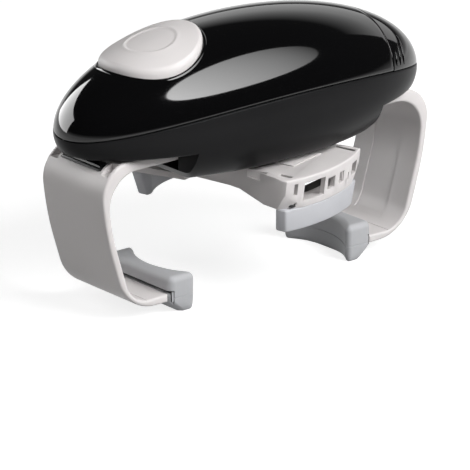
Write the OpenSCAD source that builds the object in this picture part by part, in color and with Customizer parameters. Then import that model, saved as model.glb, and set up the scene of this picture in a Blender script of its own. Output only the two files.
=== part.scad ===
// Cordless jar opener: two arms hold the jar while a pair of jaws turns its lid.
// X runs along the body, Z is up, and the origin lies under the middle of the rubber grips.

/* [Body shell] */
// Length of the body
body_length = 212; // [204:1:230]
// Width of the body
body_width = 94; // [90:1:106]
// Height of the dome above the waist
dome_height = 42; // [41:1:50]
// Depth of the belly curve below the waist, before it is cut flat
belly_depth = 35.7; // [34:0.1:39]
// Wall of the two shells
shell_wall = 2.4; // [1.8:0.1:2.6]
// Height of the arched seam above the waist at mid length
seam_rise = 12; // [9:0.5:14]
// Drop of the seam from mid length to the tips
seam_drop = 12; // [9:0.5:12]
// Half length of the flat keel
keel_half_length = 53; // [50:0.5:55]
// How far the keel's end walls lean outward
keel_lean = 10; // [8:0.5:11]
// Distance from the middle to the foot of the battery door's joint
door_joint_x = 65; // [63:0.5:70]
// How far the joint leans towards the tip, in degrees
door_lean = 11; // [0:1:15]

/* [Button] */
// Radius of the push button
button_radius = 24.2; // [20:0.1:25]
// Distance from the middle to the button's centre
button_offset = 54.5; // [52:0.5:58]
// Height of the button above the dome
button_proud = 3; // [2:0.1:4]
// Press travel of the button
button_travel = 2; // [1:0.1:2.4]
// Wall of the button's cap and skirt
button_wall = 2; // [1.5:0.1:2.4]

/* [Arms] */
// Width of each arm
arm_width = 46; // [40:0.5:46]
// Wall of the arm's band
arm_wall = 3.8; // [3:0.1:4.2]
// Distance from the middle to the arm's outer shoulder
shoulder_x = 103.2; // [101:0.2:108]
// Distance from the middle to the outer side at half height
elbow_x = 99.3; // [98:0.2:103]
// Distance from the middle to the outer lower corner
foot_x = 87.5; // [85:0.5:92]
// Inward travel of each arm
arm_travel = 34; // [20:1:34]
// Wall of the upper shelf, which slides into the body
shelf_wall = 2.4; // [2:0.1:2.8]
// Thickness of the side ribs on the upper shelf
rib_wall = 3.2; // [2:0.1:4]

/* [Rubber grips] */
// Height of each jar grip
grip_height = 18.5; // [16:0.5:22]
// Width of each jar grip
grip_width = 49; // [47:0.5:54]
// Distance from the middle to the tips of the jar grips
grip_tip_x = 46; // [44:0.5:48]
// Depth of the hollow in the face of a jar grip
grip_hollow = 9.5; // [6:0.5:10]
// Distance from the middle to the back of the jar grips
grip_back_x = 63.5; // [61:0.5:66]
// Height of the arm's lower shelf above the base
arm_toe_z = 6.4; // [5:0.2:7]

/* [Lid jaws] */
// Clear height under the lid pads
pad_clearance = 38.3; // [34:0.1:48]
// Height of the lid pads
pad_height = 10.7; // [8:0.1:14]
// Radius of the lid that the pads meet at rest
lid_radius = 42.5; // [41:0.1:44]
// Height of the jaws above the pads
jaw_height = 15; // [14.6:0.1:17]
// Radius of the smallest lid that the pads close on
smallest_lid = 15.5; // [15.5:0.5:25]
// Thickness of the front lid pad and jaw at the crown
pad_depth = 12; // [11:0.1:14]
// Length of the lid pads' sides
pad_side = 5.6; // [4:0.1:8]
// Half the arc of the lid that each pad grips, in degrees
grip_angle = 29; // [28:1:34]
// Radius of the jaws' curved end faces
jaw_end_radius = 83; // [75:1:95]
// How far the front jaw's end face leans inward towards its foot
jaw_draft = 1.8; // [0.5:0.1:2]
// Half width of the front jaw
front_jaw_half = 31; // [30:0.5:33]
// Half width of the rear jaw
rear_jaw_half = 24; // [22:0.5:24.5]
// Wall of the jaws
jaw_wall = 2.4; // [1.8:0.1:2.6]
// Angle of the front jaw round the turning axis
jaw_angle = -75.5; // [-90:0.5:-60]

/* [Gears] */
// Teeth on the motor pinion
motor_teeth = 10; // [10:1:12]
// Teeth on the large wheel of each reduction gear
wheel_teeth = 36; // [34:1:36]
// Teeth on the small wheel of each reduction gear
small_teeth = 12; // [12:1:13]
// Teeth on the centre gear
centre_teeth = 45; // [44:1:46]
// Module of the reduction gears
train_module = 0.8; // [0.75:0.01:0.8]
// Play between meshing teeth
backlash = 0.16; // [0.12:0.01:0.2]

/* [Drive and power] */
// Diameter of the motor
motor_diameter = 24; // [20:0.5:24.5]
// Length of the motor
motor_length = 22; // [18:0.5:23]
// Diameter of a battery cell
cell_diameter = 14.5; // [14:0.1:14.8]
// Length of a battery cell
cell_length = 50.5; // [49:0.1:51]
// Radius of the turning hub
hub_radius = 9.7; // [9:0.1:10]
// Radius of the jaw spindle
spindle_radius = 2.5; // [2:0.1:2.8]
// Radius of the steel gear axles
axle_radius = 1.5; // [1.2:0.1:1.8]

/* [Fits] */
// Radial clearance of turning fits
run_gap = 0.05; // [0.03:0.01:0.09]
// Clearance between pieces that slide past each other
slide_gap = 0.3; // [0.25:0.05:0.35]

/* [Hidden] */
$fn = 64;

// Colours
gloss_black = "#0b0b0d";
pale_plastic = "#e4e1df";
mid_grey = "#9a9ca1";
steel = "#b9bcc0";
brass = "#c9a04a";
nylon = "#d9d6c8";

// Heights, from the base up
jaw_z = pad_clearance + pad_height;
jaw_top = jaw_z + jaw_height;
keel_z = jaw_top + 1.8;
floor_top = keel_z + shell_wall;
rack_z = floor_top + 6.5 + 2 * slide_gap;
shelf_z = rack_z - 0.4;
shelf_top = shelf_z + shelf_wall;
rack_height = 4.4;
rib_top = rack_z + rack_height + 0.4;
tail_z = rib_top + 3 * slide_gap;
deck_z = tail_z + 1;
deck_wall = 2;
deck_top = deck_z + deck_wall;
waist_z = tail_z + 8;
wheel_z = deck_top + 3;
plate_z = deck_top + 13;
plate_wall = 2;
plate_top = plate_z + plate_wall;

// Gear sizes
pitch_angle = 25;
pinion_teeth = 16;
rack_module = 1;
rack_pitch_radius = rack_module * pinion_teeth / 2;
rack_pitch = PI * rack_module;
rack_tip = rack_pitch_radius - 0.9 * rack_module;
rack_root = rack_pitch_radius + 1.15 * rack_module;
rack_back = rack_root + 4.85;
motor_distance = train_module * (motor_teeth + wheel_teeth) / 2;
idler_distance = train_module * (small_teeth + wheel_teeth) / 2;
centre_distance = train_module * (small_teeth + centre_teeth) / 2;
second_bearing = 200;
first_bearing = 80;
motor_bearing = -5;
second_place = centre_distance * [cos(second_bearing), sin(second_bearing)];
first_place = second_place + idler_distance * [cos(first_bearing), sin(first_bearing)];
motor_place = first_place + motor_distance * [cos(motor_bearing), sin(motor_bearing)];
wheel_height = 2.6;
wheel_step = 3.4;

// Places shared by several pieces
jaw_reach = lid_radius + pad_depth;
jaw_travel = lid_radius - smallest_lid;
seam_radius = (pow(body_length / 2, 2) + pow(seam_drop, 2)) / (2 * seam_drop);
screw_place = [66, 28];
screw_radius = 1.25;
cell_far_x = body_length / 2 - 17.5;
cell_near_x = cell_far_x - cell_length;
deck_right = cell_near_x - 9;
post_places = [[-38, 27], [-38, -27], [deck_right - 5, 27], [deck_right - 5, -27]];
post_radius = 3.4;
spacer_radius = 2.6;
guide_radius = 19;
guide_z = waist_z + 23;
guide_wall = 2;
guide_posts = [60, 180, 300];
guide_post_ring = 16;
board_size = [22, 19, 1.6];
board_z = plate_top + 2;
switch_size = [6.2, 6.2, 4];
plunger_radius = 1.7;
stem_radius = 3;
plunger_top = board_z + board_size.z + switch_size.z + button_travel + slide_gap;
cell_z = tail_z + shell_wall + cell_diameter / 2 + 2.6;
tray_wall = 1.6;
hub_top = floor_top + 4.2;
slot_z = floor_top + 1.8;
shelf_end = 50;
bush_wall = 2.4;
rear_plate = 3;
turntable_half = 20.5;
turntable_wall = 1.7;
turntable_plate_z = jaw_top - jaw_wall - slide_gap - turntable_wall;
jaw_rack_z = turntable_plate_z - slide_gap - 5;
jaw_rack_height = 5;
floor_plate_z = jaw_z + rear_plate + 2 * slide_gap;
turntable_screw_x = turntable_half - 3.5;
channel_out = rack_back + 3;
floor_wall = 1.4;
rack_window = [-20.6, 0.4 - rack_tip];
slot_half = arm_width / 2 + slide_gap + 0.1;
motor_screw_x = 7.5;
motor_shaft = 1;
case_hub = 5;
bridge_height = rack_z + rack_height - shelf_top + 0.1;
cell_y = cell_diameter / 2 + 0.2;
grip_lip = 6;
big = 400;

// Outlines

function unit(v) = v / norm(v);

// Corner of a path moved sideways by d
function moved_corner(a, p, b, d) =
    let (u = unit(p - a), v = unit(b - p), m = [-u.y, u.x], n = [-v.y, v.x])
    p + d * (m + n) / (1 + m * n);

// Point at height z on the line through p and q
function at_height(p, q, z) = p + (q - p) * (z - p.y) / (q.y - p.y);

// Arc that rounds the corner p between a and b
function corner_arc(a, p, b, r, steps = 8) =
    let (u = unit(a - p), v = unit(b - p), half = acos(u * v) / 2,
         centre = p + unit(u + v) * r / sin(half),
         start = p + u * r / tan(half) - centre, stop = p + v * r / tan(half) - centre,
         from = atan2(start.y, start.x), raw = atan2(stop.y, stop.x) - from,
         turn = raw > 180 ? raw - 360 : raw < -180 ? raw + 360 : raw)
    [for (i = [0 : steps]) centre + r * [cos(from + turn * i / steps), sin(from + turn * i / steps)]];

// Path whose inner corners are rounded; radii are given for each point and 0 keeps it sharp
function rounded(p, r) = [
    for (i = [0 : len(p) - 1])
        each (r[i] == 0 ? [p[i]]
            : corner_arc(p[(i + len(p) - 1) % len(p)], p[i], p[(i + 1) % len(p)], r[i]))
];

module rounded_plate(x0, x1, y0, y1, r, height) {
    linear_extrude(height)
        polygon(rounded([[x0, y0], [x1, y0], [x1, y1], [x0, y1]], [r, r, r, r]));
}

module ring(outer, inner, height) {
    difference() {
        cylinder(r = outer, h = height);
        translate([0, 0, -1]) cylinder(r = inner, h = height + 2);
    }
}

// Gears and racks

function involute(a) = tan(a) * 180 / PI - a;

function tooth_half(r, teeth, size) =
    let (pitch_r = size * teeth / 2, base = pitch_r * cos(pitch_angle))
    90 / teeth - backlash / pitch_r * 45 / PI + involute(pitch_angle)
        - involute(acos(min(1, base / r)));

function gear_outline(teeth, size, steps = 2) =
    let (root = size * (teeth / 2 - 1.15), tip = size * (teeth / 2 + 0.9))
    [for (i = [0 : teeth - 1], side = [-1, 1], k = [0 : steps])
        let (r = side < 0 ? root + (tip - root) * k / steps : tip - (tip - root) * k / steps,
             a = 360 * i / teeth + side * tooth_half(r, teeth, size))
        r * [cos(a), sin(a)]];

module gear(teeth, size, height, phase = 0, steps = 2) {
    rotate(phase) linear_extrude(height) polygon(gear_outline(teeth, size, steps));
}

// Angle at which a gear of n teeth meshes with one of m teeth that stands at angle phase,
// seen from it in direction bearing
function mesh_phase(bearing, phase, m, n) =
    bearing + 180 - (phase - bearing) * m / n - 180 / n;

// Rack along X on the +Y side of a pinion at the origin
module rack(x0, x1, height) {
    slope = tan(pitch_angle);
    half = rack_pitch / 4 - backlash / 2;
    tip_half = half - 0.9 * rack_module * slope;
    root_half = half + 1.15 * rack_module * slope;
    first = ceil(x0 / rack_pitch);
    last = floor(x1 / rack_pitch) - 1;
    linear_extrude(height) polygon(concat(
        [[x0, rack_back], [x0, rack_root]],
        [for (i = [first : last], p = [[-root_half, rack_root], [-tip_half, rack_tip],
                                       [tip_half, rack_tip], [root_half, rack_root]])
            [(i + 0.5) * rack_pitch + p.x, p.y]],
        [[x1, rack_root], [x1, rack_back]]));
}

// Coil spring that stands on z = 0
module coil(bottom, top, height, turns, wire) {
    sides = 6;
    steps = turns * 14;
    points = [for (i = [0 : steps], k = [0 : sides - 1])
        let (t = i / steps, a = 360 * turns * t, r = bottom + (top - bottom) * t,
             b = 360 * k / sides, out = r + wire * cos(b))
        [out * cos(a), out * sin(a), wire + (height - 2 * wire) * t + wire * sin(b)]];
    walls = [for (i = [0 : steps - 1], k = [0 : sides - 1])
        let (n = (k + 1) % sides)
        [i * sides + k, i * sides + n, (i + 1) * sides + n, (i + 1) * sides + k]];
    polyhedron(points, concat([[for (k = [0 : sides - 1]) k]], walls,
        [[for (k = [0 : sides - 1]) (steps + 1) * sides - 1 - k]]));
}

// Pan-head screw that stands head up on z = 0 with its shank below
module screw(shank, length, head = 2.3, head_height = 1.5) {
    difference() {
        union() {
            cylinder(r = head, h = head_height);
            translate([0, 0, -length]) cylinder(r = shank, h = length + 0.01);
        }
        for (a = [0, 90]) rotate(a) translate([-1.3, -0.3, 0.5]) cube([2.6, 0.6, 2]);
    }
}

// Body envelope

module half_space(z, up) {
    translate([-big / 2, -big / 2, up ? z : z - big]) cube(big);
}

// Dome above the waist, with its surface moved inward by inset
module dome(inset) {
    intersection() {
        translate([0, 0, waist_z])
            scale([body_length / 2 - inset, body_width / 2 - inset, dome_height - inset])
                sphere(r = 1, $fn = 96);
        half_space(waist_z, true);
    }
}

// Belly below the waist
module belly(inset) {
    intersection() {
        translate([0, 0, waist_z])
            scale([body_length / 2 - inset, body_width / 2 - inset, belly_depth - inset])
                sphere(r = 1, $fn = 96);
        half_space(waist_z + (inset > 0 ? 1 : 0), false);
        keel_cut(inset);
    }
}

// Flat tail undersides and the boat-shaped keel
module keel_cut(inset) {
    top = waist_z + 1;
    foot = keel_half_length - inset;
    slant_top = keel_z + keel_lean;
    half = foot + keel_lean;
    rotate([90, 0, 0]) linear_extrude(big, center = true) polygon([
        [-big / 2, top], [-big / 2, tail_z + inset], [-half, tail_z + inset], [-half, slant_top + inset],
        [-foot, keel_z + inset], [foot, keel_z + inset], [half, slant_top + inset],
        [half, tail_z + inset], [big / 2, tail_z + inset], [big / 2, top]]);
}

module below_seam(drop = 0) {
    translate([0, 0, waist_z + seam_rise - seam_radius - drop])
        rotate([90, 0, 0]) cylinder(r = seam_radius, h = big, center = true, $fn = 256);
}

module screw_bosses(radius, z0, z1) {
    for (x = [-1, 1], y = [-1, 1])
        translate([x * screw_place.x, y * screw_place.y, z0]) cylinder(r = radius, h = z1 - z0);
}

// Shells

module lower_shell() {
    color(gloss_black) difference() {
        union() {
            difference() {
                intersection() { dome(0); below_seam(run_gap); }
                dome(shell_wall);
            }
            difference() { belly(0); belly(shell_wall); }
            screw_bosses(2.9, tail_z + 0.5, waist_z + 4);
            intersection() {
                for (p = post_places) translate([p.x, p.y, keel_z])
                    cylinder(r = post_radius, h = deck_z - keel_z);
                belly(0.6);
            }
        }
        // Slots that the arms slide through
        for (side = [-1, 1])
            translate([side * (keel_half_length + 8) - 16, -slot_half, slot_z])
                cube([32, 2 * slot_half, tail_z - slot_z]);
        translate([0, 0, keel_z - 1]) cylinder(r = hub_radius + bush_wall + run_gap, h = 6);
        screw_bosses(screw_radius + 0.15, tail_z - 5, waist_z + 6);
        screw_bosses(2.5, tail_z - 5, tail_z + 2);
        for (p = post_places) translate([p.x, p.y, deck_z - 7]) cylinder(r = screw_radius, h = 9);
    }
}

module upper_cover() {
    color(gloss_black) difference() {
        union() {
            difference() {
                dome(0);
                dome(shell_wall);
            }
            intersection() {
                screw_bosses(2.9, waist_z, waist_z + 20);
                dome(0.5);
            }
        }
        below_seam();
        translate([door_joint_x, 0, waist_z]) rotate([0, door_lean, 0])
            translate([0, -big / 2, -big / 2]) cube(big);
        translate([-button_offset, 0, waist_z]) cylinder(r = button_radius + slide_gap, h = big);
        screw_bosses(screw_radius, waist_z, waist_z + 11.5);
    }
}

module battery_door() {
    grip_x = door_joint_x + 6;
    color(gloss_black) {
        difference() {
            dome(0);
            dome(shell_wall);
            below_seam();
            translate([door_joint_x + slide_gap, 0, waist_z]) rotate([0, door_lean, 0])
                translate([-big, -big / 2, -big / 2]) cube(big);
        }
        // Tongue that snaps under the cover
        intersection() {
            translate([door_joint_x - 4, -9, waist_z + dome_height * 0.52]) cube([36, 18, 2]);
            dome(shell_wall / 2);
        }
        // Finger ribs
        for (side = [-1, 1], i = [0 : 2]) intersection() {
            translate([grip_x + 3.4 * i, side > 0 ? 0 : -body_width / 2, waist_z + 5])
                cube([1.5, body_width / 2, 10]);
            difference() {
                dome(-0.7);
                dome(0.5);
                below_seam();
            }
        }
    }
}

module shell_screws() {
    color(steel) for (x = [-1, 1], y = [-1, 1])
        translate([x * screw_place.x, y * screw_place.y, tail_z + 2 - slide_gap / 3]) mirror([0, 0, 1])
            screw(screw_radius - 0.05, waist_z + 8 - tail_z);
}

// Button and its switch

module button() {
    stem_z = guide_z - slide_gap - 2;
    color(pale_plastic) {
        intersection() {
            difference() { dome(-button_proud); dome(button_wall - button_proud); }
            translate([-button_offset, 0, waist_z]) cylinder(r = button_radius, h = big, $fn = 96);
        }
        intersection() {
            difference() { dome(-button_proud); dome(shell_wall + 1.6); }
            translate([-button_offset, 0, waist_z]) ring(button_radius, button_radius - button_wall, big);
        }
        intersection() {
            translate([-button_offset, 0, stem_z]) cylinder(r = stem_radius, h = dome_height);
            dome(0.5 - button_proud);
        }
        translate([-button_offset, 0, stem_z]) cylinder(r = stem_radius + 1.3, h = 2);
        translate([-button_offset, 0, plunger_top]) cylinder(r = 2, h = stem_z - plunger_top + 0.1);
    }
}

module button_spring() {
    roof = waist_z + (dome_height + button_proud - button_wall)
        * sqrt(1 - pow((button_offset + 7) / (body_length / 2 + button_proud - button_wall), 2));
    color(steel) translate([-button_offset, 0, guide_z + guide_wall])
        coil(6, 6, roof - guide_z - guide_wall - slide_gap, 5, 0.5);
}

module button_guide() {
    color(nylon) {
        translate([-button_offset, 0, guide_z]) ring(guide_radius, stem_radius + run_gap, guide_wall);
        for (a = guide_posts) translate([-button_offset, 0, 0]) rotate(a)
            translate([guide_post_ring, 0, plate_top]) cylinder(r = 2, h = guide_z - plate_top + 0.5);
    }
}

module circuit_board() {
    color("#1f6a3a") translate([-button_offset - board_size.x / 2, -board_size.y / 2, board_z])
        cube(board_size);
}

module tact_switch() {
    color("#2a2a2c") translate([-button_offset, 0, board_z + board_size.z]) difference() {
        translate([-switch_size.x / 2, -switch_size.y / 2, 0]) cube(switch_size);
        translate([0, 0, switch_size.z - button_travel - 1])
            cylinder(r = plunger_radius + run_gap, h = button_travel + 2);
    }
}

module switch_plunger() {
    base = board_z + board_size.z + switch_size.z - 0.7;
    color("#3a3a3c") translate([-button_offset, 0, base])
        cylinder(r = plunger_radius, h = plunger_top - base);
}

// Drive

module gear_deck() {
    color(nylon) difference() {
        translate([0, 0, deck_z]) rounded_plate(-43, deck_right, -32, 32, 6, deck_wall);
        translate([0, 0, deck_z - 1]) cylinder(r = case_hub + run_gap, h = deck_wall + 2);
        for (p = [first_place, second_place]) translate([p.x, p.y, deck_z - 1])
            cylinder(r = axle_radius + 0.02, h = deck_wall + 2);
        for (p = post_places) translate([p.x, p.y, deck_z - 1])
            cylinder(r = screw_radius + 0.2, h = deck_wall + 2);
    }
}

module plate_spacers() {
    color(brass) for (p = post_places) translate([p.x, p.y, deck_top])
        ring(spacer_radius, screw_radius + 0.2, plate_z - deck_top);
}

module motor_plate() {
    tail_x = button_offset + guide_post_ring + 5;
    color(nylon) {
        difference() {
            translate([0, 0, plate_z]) linear_extrude(plate_wall) polygon(rounded(
                [[-tail_x, -14], [-44, -14], [-44, -31], [deck_right, -31],
                 [deck_right, 31], [-44, 31], [-44, 14], [-tail_x, 14]],
                [5, 0, 5, 5, 5, 5, 0, 5]));
            translate([motor_place.x, motor_place.y, plate_z - 1]) cylinder(r = 3.2, h = plate_wall + 2);
            translate([0, 0, plate_z - 1]) cylinder(r = spindle_radius + run_gap, h = plate_wall + 2);
            for (p = [first_place, second_place]) translate([p.x, p.y, plate_z - 1])
                cylinder(r = axle_radius + 0.02, h = plate_wall + 2);
            for (p = post_places) translate([p.x, p.y, plate_z - 1])
                cylinder(r = screw_radius + 0.2, h = plate_wall + 2);
            // Counterbored holes for the motor's screws
            for (side = [-1, 1])
                translate([motor_place.x + side * motor_screw_x, motor_place.y, plate_z - 1]) {
                    cylinder(r = 1.2, h = plate_wall + 2);
                    cylinder(r = 2, h = 2.3);
                }
        }
        // Standoffs for the circuit board
        for (x = [-1, 1], y = [-1, 1])
            translate([-button_offset + x * (board_size.x / 2 - 2.5), y * (board_size.y / 2 - 2.5), 0])
                translate([0, 0, plate_top - 0.1]) cylinder(r = 1.6, h = board_z - plate_top + 0.1);
    }
}

module plate_screws() {
    color(steel) for (p = post_places) translate([p.x, p.y, plate_top])
        screw(screw_radius - 0.05, plate_top - deck_z + 6);
}

module motor() {
    color(steel) difference() {
        translate([motor_place.x, motor_place.y, plate_top]) union() {
            intersection() {
                cylinder(r = motor_diameter / 2, h = motor_length);
                translate([-motor_diameter, -motor_diameter * 0.38, 0])
                    cube([2 * motor_diameter, motor_diameter * 0.76, motor_length]);
            }
            translate([0, 0, -1.8]) cylinder(r = 3, h = 2);
            translate([0, 0, motor_length - 0.1]) cylinder(r = 4, h = 1.3);
        }
        translate([motor_place.x, motor_place.y, plate_z - 1])
            cylinder(r = motor_shaft + run_gap, h = 9);
        for (side = [-1, 1])
            translate([motor_place.x + side * motor_screw_x, motor_place.y, plate_top - 1])
            cylinder(r = 1, h = 5);
    }
}

module motor_screws() {
    color(steel) for (side = [-1, 1])
        translate([motor_place.x + side * motor_screw_x, motor_place.y, plate_z + 1.25])
            mirror([0, 0, 1]) screw(0.95, 4, 1.8, 1.2);
}

motor_gear_z = wheel_z + 2 * wheel_step;
second_phase = mesh_phase(second_bearing, 0, centre_teeth, small_teeth);
first_phase = mesh_phase(first_bearing, second_phase, wheel_teeth, small_teeth);
motor_phase = mesh_phase(motor_bearing, first_phase, wheel_teeth, motor_teeth);

module motor_pinion() {
    color(brass) translate([motor_place.x, motor_place.y, 0]) {
        translate([0, 0, motor_gear_z]) gear(motor_teeth, train_module, wheel_height, motor_phase, 3);
        translate([0, 0, motor_gear_z + 0.1]) cylinder(r = motor_shaft, h = plate_z + 6 - motor_gear_z);
    }
}

// Large wheel over a small one on a collar that stands on the deck
module compound_gear(z, phase) {
    collar_z = deck_top + slide_gap;
    difference() {
        union() {
            translate([0, 0, z + wheel_step]) gear(wheel_teeth, train_module, wheel_height, phase);
            translate([0, 0, z]) gear(small_teeth, train_module, wheel_step + 0.1, phase, 3);
            translate([0, 0, collar_z]) cylinder(r = axle_radius + 0.7, h = z - collar_z + 0.1);
        }
        translate([0, 0, collar_z - 1]) cylinder(r = axle_radius + run_gap, h = 20);
    }
}

module first_gear() {
    color(nylon) translate([first_place.x, first_place.y, 0])
        compound_gear(wheel_z + wheel_step, first_phase);
}

module second_gear() {
    color(nylon) translate([second_place.x, second_place.y, 0]) compound_gear(wheel_z, second_phase);
}

module gear_axles() {
    color(steel) for (p = [first_place, second_place]) translate([p.x, p.y, deck_z + 0.2])
        cylinder(r = axle_radius, h = plate_top - deck_z - 0.4);
}

case_radius = 13;
case_bottom = deck_top + 0.5;
case_top = wheel_z + wheel_height + 0.4;

module centre_gear() {
    color(nylon) difference() {
        translate([0, 0, wheel_z]) gear(centre_teeth, train_module, wheel_height);
        translate([0, 0, wheel_z - 1]) cylinder(r = case_radius + 0.02, h = wheel_height + 2);
    }
}

module differential_case() {
    color(nylon) difference() {
        union() {
            translate([0, 0, case_bottom]) cylinder(r = case_radius, h = case_top - case_bottom);
            translate([0, 0, case_top - 0.1]) cylinder(r = spindle_radius, h = plate_top - case_top - 0.1);
        }
        translate([0, 0, case_bottom - 1]) cylinder(r = case_hub + run_gap, h = 4.8);
    }
}

module arm_pinion() {
    color(nylon) difference() {
        union() {
            translate([0, 0, hub_top + slide_gap])
                cylinder(r = case_hub, h = case_bottom + 3.4 - hub_top - slide_gap);
            translate([0, 0, rack_z]) gear(pinion_teeth, rack_module, rack_height, 0, 3);
        }
        translate([0, 0, hub_top]) cylinder(r = spindle_radius + run_gap, h = 20);
    }
}

// Power

module battery_tray() {
    half = cell_diameter + tray_wall + 0.4;
    z0 = tail_z + shell_wall;
    color("#1b1b1d") difference() {
        translate([cell_near_x - 3, -half, z0]) cube([cell_far_x - cell_near_x + 5, 2 * half, cell_z - z0]);
        for (side = [-1, 1]) translate([cell_near_x - 1.4, side * cell_y, cell_z])
            rotate([0, 90, 0]) cylinder(r = cell_diameter / 2 + 0.15, h = cell_length + 1.9);
    }
}

module battery_cells() {
    color(brass) for (side = [-1, 1])
        translate([side < 0 ? cell_near_x : cell_far_x, side * cell_y, cell_z])
            rotate([0, side < 0 ? 90 : -90, 0]) {
                cylinder(r = cell_diameter / 2, h = cell_length - 1.2);
                translate([0, 0, cell_length - 1.3]) cylinder(r = 2.6, h = 1.3);
            }
}

module battery_contacts() {
    color(steel) for (side = [-1, 1]) {
        translate([cell_near_x - 1.35, side * cell_y - 5, cell_z]) cube([0.5, 10, 5.5]);
        translate([cell_far_x + 0.35, side * cell_y - 5, cell_z - 5]) cube([0.1, 10, 10.5]);
    }
}

// Arms, drawn on the +X side

arm_top = [[shelf_end, shelf_top + 1], [80, rib_top], [shoulder_x, rib_top], [elbow_x, (rib_top + 12) / 2],
    [foot_x, arm_toe_z], [grip_back_x, arm_toe_z]];

function arm_outline() =
    let (p = arm_top,
         inner_elbow = moved_corner(p[2], p[3], p[4], -arm_wall),
         inner_foot = moved_corner(p[3], p[4], p[5], -arm_wall),
         upper = moved_corner(p[1], p[2], p[3], -arm_wall),
         inner_shoulder = at_height(upper, inner_elbow, shelf_z))
    rounded(concat(p, [[grip_back_x, arm_toe_z + arm_wall], inner_foot, inner_elbow, inner_shoulder,
        [shelf_end, shelf_z]]), [0, 30, 16, 140, 23, 0, 0, 14, 80, 16, 0]);

module arm() {
    tongue = [grip_lip, grip_width - 2 * grip_lip, arm_wall];
    notch = 2 * arm_travel + rack_pitch_radius + 1 - shelf_end + 2;
    difference() {
        union() {
            rotate([90, 0, 0]) linear_extrude(arm_width, center = true) polygon(arm_outline());
            translate([grip_back_x - tongue.x, -tongue.y / 2, arm_toe_z])
                cube([tongue.x + 1, tongue.y, tongue.z]);
        }
        // Recess between the side ribs
        translate([40, -arm_width / 2 + rib_wall, shelf_top])
            cube([48, arm_width - 2 * rib_wall, 20]);
        // Notch that lets the other arm's rack pass
        translate([shelf_end - 1, -rack_back - slide_gap, shelf_z - 1])
            cube([notch + 1, rack_back - rack_tip + 2 * slide_gap, 10]);
    }
    // Rack that reaches past the middle
    translate([0, 0, rack_z]) rack(-rack_pitch_radius - 1, 49, rack_height);
    translate([48.9, rack_root, shelf_top - 0.1]) cube([40, rack_back - rack_root, bridge_height]);
}

module left_arm() {
    color(pale_plastic) rotate(180) arm();
}

module right_arm() {
    color(pale_plastic) arm();
}

module grip() {
    hollow_radius = (pow(grip_hollow, 2) + pow(grip_width / 2, 2)) / (2 * grip_hollow);
    difference() {
        linear_extrude(grip_height) polygon(rounded(
            [[grip_tip_x, -grip_width / 2], [grip_back_x, -grip_width / 2], [grip_back_x, grip_width / 2],
             [grip_tip_x, grip_width / 2]], [2.5, 3.5, 3.5, 2.5]));
        translate([grip_tip_x + grip_hollow - hollow_radius, 0, -1])
            cylinder(r = hollow_radius, h = grip_height + 2, $fn = 128);
        translate([grip_back_x - grip_lip, -grip_width / 2 + grip_lip, arm_toe_z])
            cube([grip_lip + 1, grip_width - 2 * grip_lip, arm_wall]);
    }
}

module left_grip() {
    color(mid_grey) rotate(180) grip();
}

module right_grip() {
    color(mid_grey) grip();
}

// Turntable under the keel; the jaws slide along its own X

module turntable_bush() {
    color(nylon) translate([0, 0, keel_z]) {
        ring(hub_radius + bush_wall, hub_radius + run_gap, shell_wall + 0.1);
        translate([0, 0, shell_wall]) ring(hub_radius + bush_wall + 2.5, hub_radius + run_gap, 0.8);
    }
}

module turntable() {
    rail = [2 * turntable_half - 2, channel_out - rack_back - slide_gap,
        turntable_plate_z - floor_plate_z - floor_wall + 0.1];
    color("#1b1b1d") rotate(jaw_angle) difference() {
        union() {
            translate([0, 0, turntable_plate_z])
                rounded_plate(-turntable_half, turntable_half, -channel_out, channel_out, 3, turntable_wall);
            translate([0, 0, turntable_plate_z])
                cylinder(r = hub_radius, h = hub_top - turntable_plate_z);
            for (y = [rack_back + slide_gap, -channel_out])
                translate([-rail.x / 2, y, floor_plate_z + floor_wall]) cube(rail);
        }
        translate([0, 0, turntable_plate_z - 1]) cylinder(r = spindle_radius + run_gap, h = 30);
        // Groove for the retaining ring
        translate([0, 0, floor_top + 1.1]) ring(hub_radius + 1, hub_radius - 1.2, 1.2);
        for (side = [-1, 1]) translate([side * turntable_screw_x, 0, turntable_plate_z - 1])
            cylinder(r = 1.3, h = 4);
    }
}

module retaining_ring() {
    color(steel) translate([0, 0, floor_top + 1.15]) difference() {
        cylinder(r = hub_radius + 3.5, h = 1.1);
        translate([0, 0, -1]) cylinder(r = hub_radius - 1.15, h = 4);
        translate([0, -3, -1]) cube([20, 6, 4]);
    }
}

module turntable_floor() {
    block = [6, 2 * (rack_tip - slide_gap), turntable_plate_z - floor_plate_z - floor_wall + 0.1];
    color("#1b1b1d") rotate(jaw_angle) difference() {
        union() {
            translate([0, 0, floor_plate_z])
                rounded_plate(-turntable_half, turntable_half, -channel_out, channel_out, 3, floor_wall);
            for (side = [-1, 1])
                translate([side * turntable_screw_x - 3, -block.y / 2, floor_plate_z + floor_wall - 0.1])
                    cube(block);
        }
        for (side = [-1, 1]) translate([side * turntable_screw_x, 0, floor_plate_z - 1]) {
            cylinder(r = 1.3, h = 20);
            cylinder(r = 2.5, h = 2.1);
        }
    }
}

module floor_screws() {
    color(steel) rotate(jaw_angle) for (side = [-1, 1])
        translate([side * turntable_screw_x, 0, floor_plate_z + 1.1])
            mirror([0, 0, 1]) screw(1.2, 7.4, 2.3, 1);
}

module jaw_pinion() {
    bottom = floor_plate_z + floor_wall + slide_gap;
    color(nylon) rotate(jaw_angle) {
        translate([0, 0, bottom])
            gear(pinion_teeth, rack_module, turntable_plate_z - slide_gap - bottom, 0, 3);
        translate([0, 0, bottom + 1]) cylinder(r = spindle_radius, h = case_bottom + 3 - bottom - 1);
    }
}

// Lid jaws, drawn along +X with the pads under them

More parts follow.
